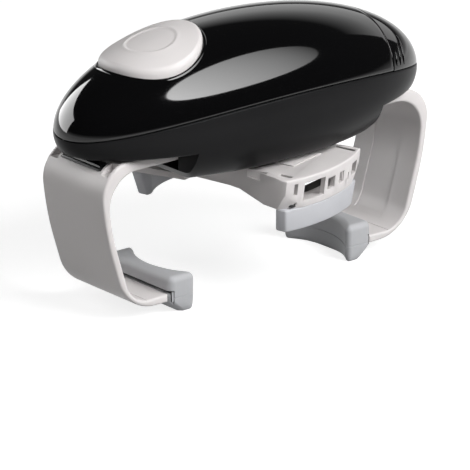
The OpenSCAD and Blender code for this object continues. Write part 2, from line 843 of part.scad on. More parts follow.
module front_jaw() {
    reach = jaw_reach;
    half = front_jaw_half;
    waist = channel_out + slide_gap + jaw_wall + 2.1;
    side = [[-10, waist], [10, waist + 1], [reach - 9, half], [reach + 5, half]];
    outline = concat([for (p = side) [p.x, -p.y]], [side[3], side[2], [20, waist + 3.8], [8, waist + 3]]);
    inner_reach = reach - jaw_wall;
    color(pale_plastic) rotate(jaw_angle) {
        difference() {
            intersection() {
                translate([0, 0, jaw_z]) linear_extrude(jaw_height) polygon(outline);
                jaw_end(0);
            }
            // Hollow behind the end wall
            intersection() {
                translate([-20, -half + jaw_wall, jaw_z + jaw_wall])
                    cube([reach + 20, 2 * (half - jaw_wall), jaw_height - 2 * jaw_wall]);
                jaw_end(jaw_wall);
                translate([0, 0, jaw_z]) linear_extrude(jaw_height) polygon(concat(
                    [[-20, -waist + jaw_wall], for (p = side) [p.x, -p.y + jaw_wall]],
                    [side[3] - [0, jaw_wall], side[2] - [0, jaw_wall], [20, waist + 3.8 - jaw_wall],
                     [-20, waist + 3 - jaw_wall]]));
            }
            // Floor kept only over the pad and set back from its face; side skirts raised near the middle
            translate([0, 0, jaw_z - 1]) cylinder(r = lid_radius + 1, h = jaw_wall + 1.01);
            translate([-30, -40, jaw_z - 1]) cube([52, 80, floor_plate_z - jaw_z + 1]);
            // Slot that clears the hub
            translate([-20, -hub_radius - 2 * slide_gap, jaw_z + 4])
                cube([20 + jaw_travel + hub_radius + 1.6, 2 * hub_radius + 4 * slide_gap, 20]);
            front_windows(reach);
            // Lower corners swept back
            for (side = [-1, 1]) translate([reach - 6.5, side * half, jaw_top - 6.5])
                rotate([0, 29, side * 39]) translate([0, -20, -20]) cube([20, 40, 40]);
        }
        translate([0, 0, jaw_rack_z]) rack(-rack_pitch_radius - 1, inner_reach + 0.3, jaw_rack_height);
    }
}

// Everything inside the front jaw's leaning end face, or inside that face moved inward
module jaw_end(inset) {
    translate([jaw_reach - jaw_end_radius, 0, jaw_z])
        cylinder(r1 = jaw_end_radius - jaw_draft - inset, r2 = jaw_end_radius - inset, h = jaw_height, $fn = 160);
}

// Each window has its two sides, its sill and its head
module front_windows(reach) {
    for (w = [[-26.6, -24.5, 7, 12.6], [rack_window.x, rack_window.y, 3.2, 12], [-4.4, 1.4, 4.8, 10.4],
              [5.4, 9.7, 5.2, 10.6], [18.8, 25.5, 5, 11]])
        translate([reach - 14, w[0], jaw_z + w[2]]) cube([20, w[1] - w[0], w[3] - w[2]]);
}

module rear_jaw() {
    reach = jaw_reach - 3;
    half = rear_jaw_half;
    root = half - 3.5;
    post_x = jaw_travel + turntable_half + slide_gap;
    color(pale_plastic) rotate(jaw_angle + 180) {
        intersection() {
            translate([0, 0, jaw_z]) linear_extrude(rear_plate) polygon(
                [[18, -root], [24, -root - 0.5], [reach - 6, -half], [reach + 5, -half],
                 [reach + 5, half], [reach - 6, half], [24, root + 0.5], [18, root]]);
            translate([reach - jaw_end_radius, 0, jaw_z])
                cylinder(r = jaw_end_radius, h = rear_plate, $fn = 160);
        }
        // Post that carries the rack
        translate([post_x, rack_tip, jaw_z + rear_plate - 0.1])
            cube([2.3, rack_back - rack_tip, jaw_rack_z + jaw_rack_height - jaw_z - rear_plate + 0.1]);
        translate([0, 0, jaw_rack_z]) rack(-rack_pitch_radius - 1, post_x + 2.2, jaw_rack_height);
    }
}

// Pad with short sides, whose back runs in to the part that grips the lid
module lid_pad(reach, half) {
    side_x = reach - jaw_end_radius + sqrt(pow(jaw_end_radius, 2) - pow(half, 2)) - pad_side;
    heel = (lid_radius - 1) * [cos(grip_angle), sin(grip_angle)];
    difference() {
        intersection() {
            translate([reach - jaw_end_radius, 0, pad_clearance])
                cylinder(r = jaw_end_radius, h = pad_height, $fn = 160);
            translate([0, 0, pad_clearance]) linear_extrude(pad_height) polygon([
                [heel.x, -heel.y], [side_x, -half], [reach + 5, -half],
                [reach + 5, half], [side_x, half], [heel.x, heel.y]]);
        }
        translate([0, 0, pad_clearance - 1]) cylinder(r = lid_radius, h = pad_height + 2, $fn = 160);
    }
}

module front_lid_pad() {
    color("#8f949c") rotate(jaw_angle) lid_pad(jaw_reach - jaw_draft, front_jaw_half - 1);
}

module rear_lid_pad() {
    color("#8f949c") rotate(jaw_angle + 180) lid_pad(jaw_reach - 3.7, rear_jaw_half);
}

lower_shell();
upper_cover();
battery_door();
shell_screws();
button();
button_spring();
button_guide();
circuit_board();
tact_switch();
switch_plunger();
gear_deck();
plate_spacers();
motor_plate();
plate_screws();
motor();
motor_screws();
motor_pinion();
first_gear();
second_gear();
gear_axles();
centre_gear();
differential_case();
arm_pinion();
battery_tray();
battery_cells();
battery_contacts();
left_arm();
right_arm();
left_grip();
right_grip();
turntable_bush();
turntable();
retaining_ring();
turntable_floor();
floor_screws();
jaw_pinion();
front_jaw();
rear_jaw();
front_lid_pad();
rear_lid_pad();
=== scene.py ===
"""Automatic jar opener: two sliding arms hold the jar and a turning pair of jaws undoes its lid."""

import math
from contextlib import contextmanager

import bmesh
import bpy
import numpy as np
from bpy.props import FloatProperty, FloatVectorProperty, PointerProperty
from mathutils import Matrix, Quaternion, Vector


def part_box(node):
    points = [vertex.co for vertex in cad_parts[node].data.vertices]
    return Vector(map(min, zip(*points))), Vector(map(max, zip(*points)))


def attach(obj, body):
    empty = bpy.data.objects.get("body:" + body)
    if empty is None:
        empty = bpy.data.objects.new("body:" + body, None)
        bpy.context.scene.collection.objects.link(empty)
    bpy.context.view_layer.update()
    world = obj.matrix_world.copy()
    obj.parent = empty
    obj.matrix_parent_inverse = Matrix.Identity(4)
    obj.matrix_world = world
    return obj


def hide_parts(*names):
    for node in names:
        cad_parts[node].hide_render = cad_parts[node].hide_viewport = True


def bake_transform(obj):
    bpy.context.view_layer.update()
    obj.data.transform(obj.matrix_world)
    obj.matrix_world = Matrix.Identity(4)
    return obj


bl_info = {
    "name": "Jar Opener",
    "version": (1, 0, 0),
    "blender": (4, 5, 0),
    "location": "3D View > Sidebar > Jar Opener",
    "description": "Models an automatic jar opener round its packed frame",
    "category": "Add Mesh",
}

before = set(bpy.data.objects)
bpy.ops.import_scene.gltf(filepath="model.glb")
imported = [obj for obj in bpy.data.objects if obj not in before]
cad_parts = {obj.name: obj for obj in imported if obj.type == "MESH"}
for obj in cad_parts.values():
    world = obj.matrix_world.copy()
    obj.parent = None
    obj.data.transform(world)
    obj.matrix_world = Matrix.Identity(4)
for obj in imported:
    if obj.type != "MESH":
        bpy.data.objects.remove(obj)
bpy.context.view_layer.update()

MM = 0.001
SHELL_LOW, SHELL_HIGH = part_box("lower_shell")
ARM_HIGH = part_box("right_arm")[1]
GRIP_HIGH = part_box("right_grip")[1]
JAW_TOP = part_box("front_jaw")[1].z / MM
JAW_TURN = Matrix.Rotation(math.radians(-75.5), 3, "Z")
# Height of the arms' feet above the base, in millimetres
TOE = 6.4
JOINT_LEAN = math.tan(math.radians(11))
SEAM_GAP = 0.12 * MM


def length(name, description, default):
    """A size in metres that a user can change."""
    return FloatProperty(name=name, description=description, default=default, unit="LENGTH", precision=4)


def colour(name, description, default):
    """A linear colour that a user can change."""
    return FloatVectorProperty(
        name=name, description=description, default=default, subtype="COLOR", size=3, min=0.0, max=1.0
    )


class OpenerSizes(bpy.types.PropertyGroup):
    """Sizes of the visible pieces."""

    half_length: length("Half length", "From the middle to the tip of the body", SHELL_HIGH.x)
    half_width: length("Half width", "From the middle to the side of the body", 47 * MM)
    waist: length("Waist height", "Height of the widest level of the body", 89 * MM)
    dome_height: length("Dome height", "Height of the dome above the waist", 42 * MM)
    belly_depth: length("Belly depth", "Depth of the belly's curve before its flat cuts", 35.7 * MM)
    seam_rise: length("Seam rise", "Height of the arched seam above the waist", 12 * MM)
    keel: length("Keel height", "Height of the flat keel above the base", SHELL_LOW.z)
    keel_half: length("Half keel", "Half length of the flat keel", 53 * MM)
    keel_lean: length("Keel lean", "How far the keel's ends lean outward", 4.2 * MM)
    tail: length("Tail height", "Height of the flat undersides beyond the keel", 81 * MM)
    shell_wall: length("Shell wall", "Wall of the two shells", 2.4 * MM)
    joint_x: length("Door joint", "From the middle to the foot of the battery door's joint", 65 * MM)
    button_x: length("Button offset", "From the middle to the button", 54.5 * MM)
    button_radius: length("Button radius", "Radius of the push button", 24.2 * MM)
    button_proud: length("Button height", "How far the button stands above the dome", 3 * MM)
    arm_half: length("Half arm", "Half width of each arm", ARM_HIGH.y)
    arm_wall: length("Arm wall", "Wall of the arm's band", 3.8 * MM)
    rib_wall: length("Rib wall", "Side ribs on the arm's upper shelf", 3.2 * MM)
    grip_half: length("Half grip", "Half width of each rubber grip", GRIP_HIGH.y)
    grip_height: length("Grip height", "Height of each rubber grip", GRIP_HIGH.z)
    grip_tip: length("Grip tip", "From the middle to the tips of the grips", 46 * MM)
    grip_back: length("Grip back", "From the middle to the back of the grips", 63.5 * MM)
    grip_hollow: length("Grip hollow", "Depth of the hollow in a grip's face", 9.5 * MM)


class OpenerColours(bpy.types.PropertyGroup):
    """Colours of the finishes."""

    gloss_black: colour("Gloss black", "Polished upper shell", (0.0014, 0.0014, 0.0016))
    satin_black: colour("Satin black", "Lower shell", (0.011, 0.011, 0.0115))
    pale_plastic: colour("Pale plastic", "Arms, jaws and button", (0.74, 0.71, 0.705))
    grip_rubber: colour("Grip rubber", "Jar grips", (0.45, 0.455, 0.47))
    pad_rubber: colour("Pad rubber", "Lid pads", (0.5, 0.505, 0.53))
    # Inner black also colours the black sheets in the shoulder recesses, the grip channels and the tray
    # floor, which are painted shade
    inner_black: colour("Inner black", "Turntable and battery tray", (0.012, 0.012, 0.013))
    steel: colour("Steel", "Screws, springs and contacts", (0.56, 0.57, 0.58))
    brass: colour("Brass", "Motor pinion and spacers", (0.72, 0.5, 0.2))
    nylon: colour("Nylon", "Gears and plates", (0.68, 0.65, 0.55))
    board: colour("Board", "Circuit board", (0.02, 0.14, 0.05))
    sleeve: colour("Cell sleeve", "Battery sleeves", (0.45, 0.26, 0.05))
    floor: colour("Floor", "Pale studio floor", (0.93, 0.93, 0.93))


# Shader maths


class Wire:
    """A socket that can stand in a Python expression, where each step adds its Math node."""

    def __init__(self, nodes, socket):
        self.nodes = nodes
        self.socket = socket

    def math(self, operation, first, second):
        return self.nodes.node("Math", {"operation": operation}, Value=first, Value_001=second)

    def __add__(self, other):
        return self.math("ADD", self, other)

    def __radd__(self, other):
        return self.math("ADD", other, self)

    def __mul__(self, other):
        return self.math("MULTIPLY", self, other)

    def __rmul__(self, other):
        return self.math("MULTIPLY", other, self)


class Nodes:
    """A node tree; node() makes any node and returns one of its outputs."""

    def __init__(self, tree):
        self.tree = tree
        tree.nodes.clear()

    def node(self, kind, settings=None, output=0, **sockets):
        """Makes a node of a type: first its settings, then the values or links of its sockets."""
        made = self.tree.nodes.new("ShaderNode" + kind)
        for key, value in (settings or {}).items():
            if key == "stops":
                self.set_stops(made.color_ramp.elements, value)
            else:
                setattr(made, key, value)
        self.fill(made, sockets)
        return Wire(self, made.outputs[output]) if made.outputs else None

    def set_stops(self, elements, stops):
        """Gives a ramp its stops, each with a place and a grey."""
        while len(elements) < len(stops):
            elements.new(0.5)
        for element, (place, grey) in zip(elements, stops):
            element.position = place
            element.color = (grey, grey, grey, 1)

    def fill(self, made, sockets):
        """Gives a node's sockets their values or links; _ stands for a space in a socket's identifier."""
        inputs = {socket.identifier.replace(" ", "_"): socket for socket in made.inputs}
        for key, value in sockets.items():
            socket = inputs[key]
            if isinstance(value, Wire):
                self.tree.links.new(value.socket, socket)
            elif socket.type == "RGBA" and len(value) == 3:
                socket.default_value = (*value, 1)
            else:
                socket.default_value = value


class Finish(Nodes):
    """A material built from nodes round one principled shader."""

    def __init__(self, name):
        self.material = bpy.data.materials.get(name) or bpy.data.materials.new(name)
        self.material.use_nodes = True
        super().__init__(self.material.node_tree)
        shader = self.node("BsdfPrincipled")
        self.shader = shader.socket.node
        self.node("OutputMaterial", Surface=shader)

    def blend(self, factor, first, second):
        """Colour between two colours."""
        return self.node("Mix", {"data_type": "RGBA"}, 2, Factor_Float=factor, A_Color=first, B_Color=second)

    def noise(self, scale, detail=2.0, roughness=0.5):
        """Noise in the piece's own space, scale in features per metre."""
        place = self.node("TexCoord", output="Object")
        return self.node("TexNoise", Vector=place, Scale=scale, Detail=detail, Roughness=roughness)

    def bump(self, height, distance, strength):
        """Normal of a relief whose full height is a distance."""
        return self.node("Bump", Height=height, Distance=distance, Strength=strength)

    def surface(self, **sockets):
        """Fills the principled shader's sockets and hands the material over."""
        self.fill(self.shader, sockets)
        return self.material


def darker(shade, share):
    return tuple(value * share for value in shade)


def gloss_black(colours):
    """Polished moulding with a faint ripple and an uneven sheen."""
    finish = Finish("gloss_black")
    ripple = finish.noise(45, 1.0)
    haze = finish.noise(12, 3.0)
    grain = finish.noise(900, 2.0)
    return finish.surface(
        Base_Color=finish.blend(haze, tuple(colours.gloss_black), darker(colours.gloss_black, 1.8)),
        Roughness=0.035 + haze * 0.03 + grain * 0.015,
        Specular_IOR_Level=0.5,
        Normal=finish.bump(ripple, 0.02 * MM, 0.5),
    )


def satin_black(colours):
    """Moulding with a fine spark-eroded grain."""
    finish = Finish("satin_black")
    haze = finish.noise(15, 3.0)
    grain = finish.noise(2200, 3.0, 0.6)
    return finish.surface(
        Base_Color=finish.blend(haze, tuple(colours.satin_black), darker(colours.satin_black, 1.6)),
        Roughness=0.24 + haze * 0.06 + grain * 0.05,
        Specular_IOR_Level=0.045,
        Normal=finish.bump(grain, 0.01 * MM, 0.35),
    )


def pale_plastic(colours):
    """Warm white moulding, a little uneven in tone, with a fine matt grain."""
    finish = Finish("pale_plastic")
    cloud = finish.noise(22, 4.0)
    grain = finish.noise(2600, 3.0, 0.6)
    flow = finish.noise(140, 2.0)
    return finish.surface(
        Base_Color=finish.blend(cloud, tuple(colours.pale_plastic), darker(colours.pale_plastic, 0.93)),
        Roughness=0.36 + flow * 0.08 + grain * 0.06,
        Specular_IOR_Level=0.3,
        Normal=finish.bump(grain, 0.02 * MM, 0.5),
    )


def rubber(name, shade):
    """Soft moulded rubber with a dusty grain."""
    finish = Finish(name)
    dust = finish.noise(60, 5.0, 0.65)
    grain = finish.noise(3200, 3.0, 0.7)
    return finish.surface(
        Base_Color=finish.blend(dust, darker(shade, 0.92), darker(shade, 1.08)),
        Roughness=0.55 + dust * 0.1 + grain * 0.08,
        Normal=finish.bump(grain, 0.03 * MM, 0.6),
    )


def moulded(name, shade, roughness, grain_scale):
    """Plain moulded or printed part seen only inside."""
    finish = Finish(name)
    cloud = finish.noise(80, 3.0)
    grain = finish.noise(grain_scale, 2.0)
    return finish.surface(
        Base_Color=finish.blend(cloud, tuple(shade), darker(shade, 0.85)),
        Roughness=roughness + grain * 0.12,
        Normal=finish.bump(grain, 0.02 * MM, 0.4),
    )


def metal(name, shade, roughness):
    """Turned or pressed metal with fine tool marks."""
    finish = Finish(name)
    place = finish.node("TexCoord", output="Object")
    lines = finish.node("Mapping", Vector=place, Scale=(300, 300, 4000))
    marks = finish.node("TexNoise", Vector=lines, Scale=1.0, Detail=2.0)
    return finish.surface(
        Base_Color=finish.blend(marks, tuple(shade), darker(shade, 0.8)),
        Metallic=1.0,
        Roughness=roughness + marks * 0.15,
        Normal=finish.bump(marks, 0.01 * MM, 0.4),
    )


def make_finishes(colours):
    """Every material, by name."""
    made = [gloss_black(colours), satin_black(colours), pale_plastic(colours)]
    for name in ("grip_rubber", "pad_rubber"):
        made.append(rubber(name, getattr(colours, name)))
    for name, roughness, grain in (
        ("inner_black", 0.38, 1800),
        ("nylon", 0.42, 1800),
        ("board", 0.3, 900),
        ("sleeve", 0.28, 1800),
    ):
        made.append(moulded(name, getattr(colours, name), roughness, grain))
    for name, roughness in (("steel", 0.24), ("brass", 0.22)):
        made.append(metal(name, getattr(colours, name), roughness))
    return {each.name: each for each in made}


def material(name):
    """A finish made earlier, or all of them made now."""
    return bpy.data.materials.get(name) or make_finishes(bpy.context.scene.opener_colours)[name]


# Modelling helpers


def only(piece):
    """Selects one piece and nothing else."""
    bpy.ops.object.select_all(action="DESELECT")
    piece.select_set(True)
    bpy.context.view_layer.objects.active = piece


@contextmanager
def editing(piece, action="SELECT"):
    """Edit mode on one piece, with all of it selected or none of it."""
    only(piece)
    bpy.ops.object.mode_set(mode="EDIT")
    bpy.ops.mesh.select_all(action=action)
    yield bmesh.from_edit_mesh(piece.data)
    bpy.ops.object.mode_set(mode="OBJECT")


def loft(name, rings, hollow=False):
    """Closed skin through rings of points: a circle is filled and extruded from ring to ring."""
    count = len(rings[0])
    bpy.ops.object.select_all(action="DESELECT")
    bpy.ops.mesh.primitive_circle_add(vertices=count, fill_type="NGON")
    piece = bpy.context.object
    piece.name = piece.data.name = name
    piece.data.vertices.foreach_set("co", np.asarray(rings[0], np.float32).ravel())
    with editing(piece):
        bpy.ops.mesh.select_mode(type="VERT")
        for ring in rings[1:]:
            bpy.ops.mesh.extrude_region_move()
            skin = bmesh.from_edit_mesh(piece.data)
            skin.verts.ensure_lookup_table()
            for vertex, point in zip(skin.verts[-count:], ring):
                vertex.co = point
        bmesh.update_edit_mesh(piece.data)
        if hollow:
            close_tube(piece, count)
        bpy.ops.mesh.select_all(action="SELECT")
        bpy.ops.mesh.remove_doubles(threshold=2e-6)
        bpy.ops.mesh.dissolve_degenerate(threshold=1e-6)
        bpy.ops.mesh.select_all(action="SELECT")
        bpy.ops.mesh.normals_make_consistent(inside=False)
    return piece


def close_tube(piece, count):
    """Takes the two end faces away and bridges their edges."""
    bpy.ops.mesh.select_all(action="DESELECT")
    skin = bmesh.from_edit_mesh(piece.data)
    for face in skin.faces:
        face.select = len(face.verts) == count
    bmesh.update_edit_mesh(piece.data)
    bpy.ops.mesh.select_mode(type="FACE")
    bpy.ops.mesh.delete(type="ONLY_FACE")
    bpy.ops.mesh.select_mode(type="EDGE")
    bpy.ops.mesh.select_all(action="DESELECT")
    bpy.ops.mesh.select_non_manifold()
    bpy.ops.mesh.bridge_edge_loops()
    bpy.ops.mesh.select_mode(type="VERT")


def modify(piece, kind, **settings):
    """Adds a modifier with its settings and applies it."""
    only(piece)
    bpy.ops.object.modifier_add(type=kind)
    step = piece.modifiers[-1]
    for name, value in settings.items():
        setattr(step, name, value)
    bpy.ops.object.modifier_apply(modifier=step.name)


def combine(piece, other, operation):
    """Adds another piece to this one or cuts it away, and removes it."""
    modify(piece, "BOOLEAN", object=other, operation=operation, solver="EXACT")
    bpy.data.objects.remove(other)


def bevel(piece, width, segments=2, angle=35):
    """Rounds the edges that are sharper than an angle."""
    limit = {"limit_method": "ANGLE", "angle_limit": math.radians(angle)}
    modify(piece, "BEVEL", width=width, segments=segments, harden_normals=False, **limit)


def block(low, high):
    """A block between two corners given in millimetres."""
    return box([value * MM for value in low], [value * MM for value in high])


def cut_away(piece, low, high):
    """Cuts the block between two corners in millimetres out of a piece."""
    combine(piece, block(low, high), "DIFFERENCE")


def box(low, high):
    """A block between two corners."""
    low, high = Vector(low), Vector(high)
    bpy.ops.object.select_all(action="DESELECT")
    bpy.ops.mesh.primitive_cube_add(size=1, location=(low + high) / 2, scale=high - low)
    bpy.ops.object.transform_apply()
    return bpy.context.object


def rod(radius, low, high, sides=96):
    """An upright round cutter between two heights; low holds x, y and z."""
    bpy.ops.object.select_all(action="DESELECT")
    bpy.ops.mesh.primitive_cylinder_add(
        vertices=sides, radius=radius, depth=high - low[2], location=(low[0], low[1], (low[2] + high) / 2)
    )
    bpy.ops.object.transform_apply()
    return bpy.context.object


def coat(mesh, finish):
    """Gives a mesh its only finish."""
    mesh.materials.clear()
    mesh.materials.append(material(finish))


def paint(piece, finish, angle=32):
    """Smooths a piece up to an angle and gives it its finish."""
    only(piece)
    bpy.ops.object.transform_apply()
    bpy.ops.object.shade_smooth_by_angle(angle=math.radians(angle))
    coat(piece.data, finish)


def finish_piece(piece, finish, body, nodes, angle=32):
    """Smooths, paints and ties a finished piece to the frame."""
    paint(piece, finish, angle)
    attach(piece, body)
    if nodes:
        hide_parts(*nodes)


def finish_pair(piece, name, finish, nodes, angle=32):
    """Finishes a piece of the right arm and its turned copy on the left arm."""
    mate = turned_copy(piece, "left_" + name)
    for each, side in ((piece, "right"), (mate, "left")):
        finish_piece(each, finish, side + "_grip_arm", [f"{side}_{node}" for node in nodes], angle)


def turned_copy(piece, name):
    """A copy with its own mesh, turned half a turn about the upright axis."""
    only(piece)
    bpy.ops.object.duplicate()
    copy = bpy.context.object
    copy.name = copy.data.name = name
    copy.data.transform(Matrix.Rotation(math.pi, 4, "Z"))
    return copy


def direction(bearing, rise):
    """Direction at a bearing from the X axis and a rise above the level, in degrees."""
    bearing, rise = math.radians(bearing), math.radians(rise)
    level = math.cos(rise)
    return Vector((math.cos(bearing) * level, math.sin(bearing) * level, math.sin(rise)))


def inset_ring(points, amount):
    """A closed outline moved inward, each corner along its own mitre."""
    points = np.asarray(points, float)
    amount = np.broadcast_to(amount, len(points))
    before = points - np.roll(points, 1, axis=0)
    after = np.roll(points, -1, axis=0) - points
    normals = []
    for step in (before, after):
        step = step / np.linalg.norm(step, axis=1)[:, None]
        normals.append(np.stack([-step[:, 1], step[:, 0]], axis=1))
    mitre = (normals[0] + normals[1]) / (1 + (normals[0] * normals[1]).sum(axis=1))[:, None]
    return points + mitre * amount[:, None]


def corner_arc(before, corner, after, radius, steps):
    """Arc that rounds a corner."""
    u = (before - corner) / np.linalg.norm(before - corner)
    v = (after - corner) / np.linalg.norm(after - corner)
    half = math.acos(np.clip(u @ v, -1, 1)) / 2
    middle = (u + v) / np.linalg.norm(u + v)
    centre = corner + middle * radius / math.sin(half)
    start = corner + u * radius / math.tan(half) - centre
    stop = corner + v * radius / math.tan(half) - centre
    first = math.atan2(start[1], start[0])
    turn = (math.atan2(stop[1], stop[0]) - first + math.pi) % (2 * math.pi) - math.pi
    angles = [first + turn * i / steps for i in range(steps + 1)]
    return [centre + radius * np.array([math.cos(angle), math.sin(angle)]) for angle in angles]


def rounded(corners, steps=10):
    """Closed outline from (x, y, radius) corners; a radius of 0 keeps the corner sharp."""
    spots = [np.array(corner[:2], float) for corner in corners]
    path = []
    for i, (spot, corner) in enumerate(zip(spots, corners)):
        if corner[2] == 0:
            path.append(spot)
        else:
            path += corner_arc(spots[i - 1], spot, spots[(i + 1) % len(spots)], corner[2], steps)
    return np.array(path)


def filled_in(path, step):
    """The closed outline with its long edges split, so that it can bend along them."""
    out = []
    for start, stop in zip(path, np.roll(path, -1, axis=0)):
        pieces = max(1, int(np.linalg.norm(stop - start) / step))
        out += [start + (stop - start) * i / pieces for i in range(pieces)]
    return np.array(out)


def along(path, count):
    """The open path cut into equal lengths."""
    path = np.asarray(path, float)
    steps = np.concatenate([[0], np.cumsum(np.linalg.norm(np.diff(path, axis=0), axis=1))])
    if steps[-1] == 0:
        return np.repeat(path[:1], count, axis=0)
    marks = np.linspace(0, steps[-1], count)
    return np.stack([np.interp(marks, steps, path[:, k]) for k in range(path.shape[1])], axis=1)


# Shares of the way back and inward along a quarter round
ROUND_STEPS = [(1 - math.sin(a), 1 - math.cos(a)) for a in np.radians([0, 22.5, 45, 67.5, 90])]


def soft_least(first, second, power):
    """The smaller of two lengths, blended where they are close."""
    low, high = min(first, second), max(first, second)
    return low * (1 + (low / high) ** power) ** (-1 / power)


# Body envelope


def seam(sizes, x):
    """Height of the arched seam."""
    radius = (sizes.half_length**2 + sizes.seam_rise**2) / (2 * sizes.seam_rise)
    return sizes.waist + sizes.seam_rise - radius + math.sqrt(radius**2 - x**2)


def dome_reach(sizes, x, inset):
    """How much of the full width and height the dome has at x."""
    return math.sqrt(max(0.0, 1 - (x / (sizes.half_length - inset)) ** 2))


def dome_point(sizes, x, roll, inset):
    """Point of the dome at an angle round the long axis."""
    reach = dome_reach(sizes, x, inset)
    return (
        x,
        (sizes.half_width - inset) * reach * math.cos(roll),
        sizes.waist + (sizes.dome_height - inset) * reach * math.sin(roll),
    )


def dome_roll(sizes, x, z, inset):
    """Angle round the long axis at which the dome has height z."""
    reach = dome_reach(sizes, x, inset)
    if reach < 1e-6:
        return 0.0
    return math.asin(min(1.0, max(0.0, (z - sizes.waist) / ((sizes.dome_height - inset) * reach))))


def joint_x(sizes, z):
    """The leaning joint of the battery door."""
    return sizes.joint_x + JOINT_LEAN * (z - sizes.waist)


def dome_ring(sizes, place, edge_inset, lip, count=76):
    """Closed section of the dome's wall; place(z, inset) gives x at a height."""

    def spot(rise, inset, share):
        """Point at a share of the way over the dome from its front rim, at the place its height asks for."""

        def at(x):
            low = dome_roll(sizes, x, seam(sizes, x) + rise, inset)
            return dome_point(sizes, x, low + (math.pi - 2 * low) * share, inset)

        x = place(sizes.waist + sizes.dome_height / 2, inset)
        for _ in range(5):
            x = place(at(x)[2], inset)
        return at(x)

    def rim(share, steps):
        return [spot(lip * rise, edge_inset + lip * inset, share) for rise, inset in steps]

    ring = [spot(lip, edge_inset, i / count) for i in range(count + 1)]
    ring += rim(1, ROUND_STEPS[1:])
    ring += [spot(0, sizes.shell_wall, i / count) for i in range(count, -1, -1)]
    ring += rim(0, ROUND_STEPS[:0:-1])
    return ring


def section_places(sizes, tip, count, round_edge=0.5 * MM):
    """Places of the sections from a tip to the door joint, with the rounding of the last edge."""
    side = 1 if tip > 0 else -1
    sections = []
    for i in range(count):
        # The sections crowd towards the tip
        share = 1 - math.cos(math.pi / 2 * i / count)

        def place(z, inset, share=share):
            far = tip - side * min(inset, sizes.shell_wall)
            return far + (joint_x(sizes, z) + side * SEAM_GAP - far) * share

        sections.append((place, 0.0))
    for back, inset in ROUND_STEPS:

        def place(z, _, back=back):
            return joint_x(sizes, z) + side * (SEAM_GAP + back * round_edge)

        sections.append((place, inset * round_edge))
    return sections


# Pieces


class OPENER_OT_cover(bpy.types.Operator):
    """Models the polished upper shell with the button's opening"""

    bl_idname = "opener.cover"
    bl_label = "Upper cover"

    def execute(self, context):
        sizes = context.scene.opener_sizes
        places = section_places(sizes, -sizes.half_length, 96)
        rings = [dome_ring(sizes, place, inset, 1.1 * MM) for place, inset in places]
        cover = loft("upper_cover_shell", rings)
        middle = (-sizes.button_x, 0, sizes.waist)
        opening = rod(sizes.button_radius + 0.35 * MM, middle, sizes.waist + 60 * MM, 160)
        combine(cover, opening, "DIFFERENCE")
        finish_piece(cover, "gloss_black", "housing", ["upper_cover"])
        self.lip(sizes)
        return {"FINISHED"}

    def lip(self, sizes):
        """Low rounded rim round the button's opening."""
        section = ((0.35, -0.6), (0.35, 0.02), (0.5, 0.18), (0.85, 0.26), (1.3, 0.2), (1.8, 0.04), (2, -0.6))
        rings = []
        for out, rise in section:
            radius, lift = sizes.button_radius + out * MM, rise * MM
            rings.append(button_ring(sizes, radius, 160, lambda x, y: dome_height_at(sizes, x, y, 0) + lift))
        lip = loft("button_opening_lip", rings, hollow=True)
        finish_piece(lip, "gloss_black", "housing", [], 60)


def dome_height_at(sizes, x, y, proud):
    """Height of the dome above a spot, with its surface moved outward."""
    inside = 1 - (x / (sizes.half_length + proud)) ** 2 - (y / (sizes.half_width + proud)) ** 2
    return sizes.waist + (sizes.dome_height + proud) * math.sqrt(max(0.0, inside))


def button_ring(sizes, radius, count, height):
    """Ring round the button's middle, at the height of each spot."""
    ring = []
    for angle in np.linspace(0, 2 * math.pi, count, endpoint=False):
        x, y = -sizes.button_x + radius * math.cos(angle), radius * math.sin(angle)
        ring.append((x, y, height(x, y)))
    return ring


class OPENER_OT_battery_door(bpy.types.Operator):
    """Models the battery door at the tip with its finger ribs"""

    bl_idname = "opener.battery_door"
    bl_label = "Battery door"

    def execute(self, context):
        sizes = context.scene.opener_sizes
        places = section_places(sizes, sizes.half_length, 56)
        rings = [dome_ring(sizes, place, inset, 0.7 * MM) for place, inset in places]
        door = loft("battery_door_shell", rings)
        finish_piece(door, "gloss_black", "door", ["battery_door"])
        for side, label in ((-1, "front"), (1, "rear")):
            for i in range(3):
                self.rib(sizes, side, i, f"door_rib_{label}_{i + 1}")
        return {"FINISHED"}

    def rib(self, sizes, side, i, name):
        """One raised finger rib that follows the dome."""
        x = sizes.joint_x + (5.2 + 3.6 * i) * MM
        foot = seam(sizes, x) + 2.2 * MM
        top = foot + (6.5 + 2.6 * i) * MM
        rings = []
        for t in np.linspace(0, 1, 15):
            z = foot + (top - foot) * t
            lean = x + 0.32 * (z - foot)
            roll = dome_roll(sizes, lean, z, 0)
            swell = math.sin(math.pi * min(1, max(0.04, t))) ** 0.5
            ring = []
            for angle in np.linspace(0, 2 * math.pi, 14, endpoint=False):
                lift = (0.62 * math.sin(angle) * swell + 0.02) * MM
                shift = 0.85 * MM * math.cos(angle) * max(0.25, swell)
                base = dome_point(sizes, lean + shift, roll, -lift)
                ring.append((base[0], side * base[1], base[2]))
            rings.append(ring)
        rib = loft(name, rings)
        finish_piece(rib, "gloss_black", "door", [], 60)


